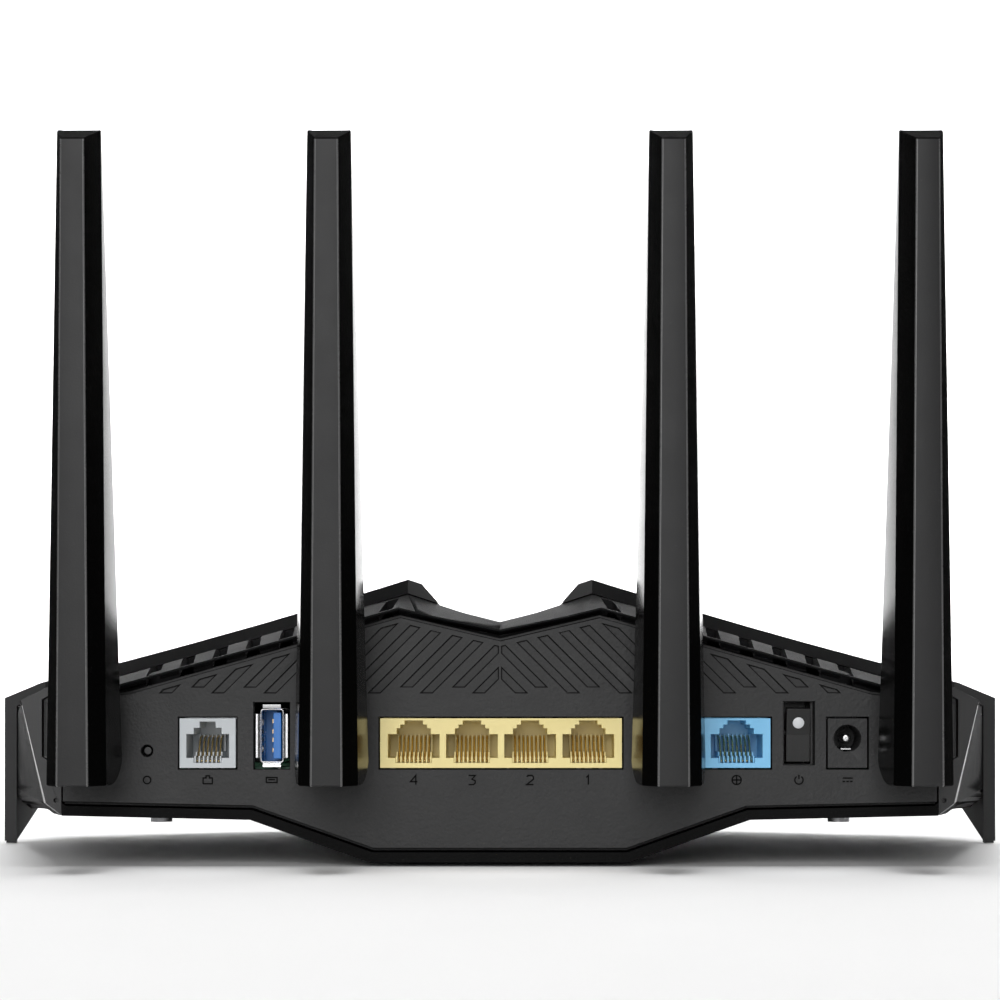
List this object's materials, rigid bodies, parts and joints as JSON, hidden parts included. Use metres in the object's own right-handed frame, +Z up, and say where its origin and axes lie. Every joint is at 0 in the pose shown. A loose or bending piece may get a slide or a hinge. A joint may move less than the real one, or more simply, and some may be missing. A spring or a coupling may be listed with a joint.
{
  "type": "wireless router",
  "caption": "Black desktop wireless router with tall folding antennas, winged top cover, side legs and a rear row of network, phone, USB and power sockets.",
  "frame": {"origin": "middle of the footprint at table level (bounding box bottom centre)", "axes": "+X to the right when facing the socket side, +Y from the sockets towards the front nose, +Z up"},
  "size_m": [0.2746, 0.185, 0.1728],
  "materials": {
    "case_black": "fine textured black",
    "wing_black": "smooth satin black",
    "trim_black": "smooth dark bezel",
    "antenna_black": "satin black with textured sides",
    "knuckle_black": "smooth black",
    "steel": "satin",
    "screw_steel": "zinc plated",
    "rubber_black": "matt",
    "board_green": "solder mask",
    "heatsink_alu": "extruded",
    "pad_grey": "soft",
    "tin": "tinned sheet",
    "chip_black": "moulded",
    "capacitor_can": "satin",
    "bush_white": "acetal",
    "lead_black": "sleeve",
    "lan_yellow": "moulded",
    "wan_blue": "moulded",
    "dsl_grey": "moulded",
    "gold": "gold flashed",
    "usb_blue": "moulded",
    "switch_black": "moulded",
    "rocker_black": "moulded with a white dot",
    "light_guide": "translucent",
    "led_white": "package",
    "label_silver": "blank film"
  },
  "bodies": {
    "housing": {"bottom_case": "case_black", "top_cover": "case_black", "rear_panel": "case_black", "left_wing": "wing_black", "right_wing": "wing_black", "left_corner_trim": "trim_black", "right_corner_trim": "trim_black", "leg_pads": "rubber_black", "rubber_feet": "rubber_black", "label_plate": "label_silver", "main_board": "board_green", "front_board": "board_green", "board_screws": "screw_steel", "case_screws": "screw_steel", "shield_cans": "tin", "chips": "chip_black", "thermal_pads": "pad_grey", "heatsink": "heatsink_alu", "capacitors": "capacitor_can", "antenna_bushes": "bush_white", "antenna_leads": "lead_black", "lan_jack_block": "lan_yellow", "lan_contacts": "gold", "wan_jack": "wan_blue", "wan_contacts": "gold", "dsl_jack": "dsl_grey", "dsl_contacts": "gold", "usb_shell": "steel", "usb_tongue": "usb_blue", "usb_contacts": "gold", "power_switch_housing": "switch_black", "dc_jack_housing": "switch_black", "dc_jack_contacts": "steel", "tact_switches": "chip_black", "led_light_guide": "light_guide", "led_chips": "led_white"},
    "rocker": {"power_rocker": "rocker_black"},
    "reset_button": {"reset_plunger": "switch_black"},
    "wps": {"wps_button": "switch_black"},
    "wifi": {"wifi_button": "switch_black"},
    "far_left_knuckle": {"far_left_antenna_knuckle": "knuckle_black"},
    "far_left_blade": {"far_left_antenna_blade": "antenna_black", "far_left_antenna_cover": "antenna_black", "far_left_antenna_pin": "steel", "far_left_antenna_radiator": "board_green"},
    "mid_left_knuckle": {"mid_left_antenna_knuckle": "knuckle_black"},
    "mid_left_blade": {"mid_left_antenna_blade": "antenna_black", "mid_left_antenna_cover": "antenna_black", "mid_left_antenna_pin": "steel", "mid_left_antenna_radiator": "board_green"},
    "mid_right_knuckle": {"mid_right_antenna_knuckle": "knuckle_black"},
    "mid_right_blade": {"mid_right_antenna_blade": "antenna_black", "mid_right_antenna_cover": "antenna_black", "mid_right_antenna_pin": "steel", "mid_right_antenna_radiator": "board_green"},
    "far_right_knuckle": {"far_right_antenna_knuckle": "knuckle_black"},
    "far_right_blade": {"far_right_antenna_blade": "antenna_black", "far_right_antenna_cover": "antenna_black", "far_right_antenna_pin": "steel", "far_right_antenna_radiator": "board_green"}
  },
  "joints": [
    {"name": "far_left_swivel", "type": "hinge", "parent": "housing", "child": "far_left_knuckle", "pos_m": [-0.098, -0.06, 0.033], "axis": [0, 1, 0], "range_deg": [-90, 15]},
    {"name": "far_left_tilt", "type": "hinge", "parent": "far_left_knuckle", "child": "far_left_blade", "pos_m": [-0.098, -0.0829, 0.0274], "axis": [1, 0, 0], "range_deg": [0, 90]},
    {"name": "mid_left_swivel", "type": "hinge", "parent": "housing", "child": "mid_left_knuckle", "pos_m": [-0.0398, -0.06, 0.033], "axis": [0, 1, 0], "range_deg": [-15, 15]},
    {"name": "mid_left_tilt", "type": "hinge", "parent": "mid_left_knuckle", "child": "mid_left_blade", "pos_m": [-0.0398, -0.0829, 0.0274], "axis": [1, 0, 0], "range_deg": [0, 90]},
    {"name": "mid_right_swivel", "type": "hinge", "parent": "housing", "child": "mid_right_knuckle", "pos_m": [0.0398, -0.06, 0.033], "axis": [0, 1, 0], "range_deg": [-15, 15]},
    {"name": "mid_right_tilt", "type": "hinge", "parent": "mid_right_knuckle", "child": "mid_right_blade", "pos_m": [0.0398, -0.0829, 0.0274], "axis": [1, 0, 0], "range_deg": [0, 90]},
    {"name": "far_right_swivel", "type": "hinge", "parent": "housing", "child": "far_right_knuckle", "pos_m": [0.098, -0.06, 0.033], "axis": [0, 1, 0], "range_deg": [-15, 90]},
    {"name": "far_right_tilt", "type": "hinge", "parent": "far_right_knuckle", "child": "far_right_blade", "pos_m": [0.098, -0.0829, 0.0274], "axis": [1, 0, 0], "range_deg": [0, 90]},
    {"name": "power_rock", "type": "hinge", "parent": "housing", "child": "rocker", "pos_m": [0.07175, -0.0595, 0.03185], "axis": [-1, 0, 0], "range_deg": [0, 16]},
    {"name": "reset_press", "type": "slide", "parent": "housing", "child": "reset_button", "axis": [0, 1, 0], "range_m": [0, 0.0005], "stiffness_N_per_m": 400},
    {"name": "wps_press", "type": "slide", "parent": "housing", "child": "wps", "axis": [0, -1, 0], "range_m": [0, 0.0005], "stiffness_N_per_m": 400},
    {"name": "wifi_press", "type": "slide", "parent": "housing", "child": "wifi", "axis": [0, -1, 0], "range_m": [0, 0.0005], "stiffness_N_per_m": 400}
  ]
}
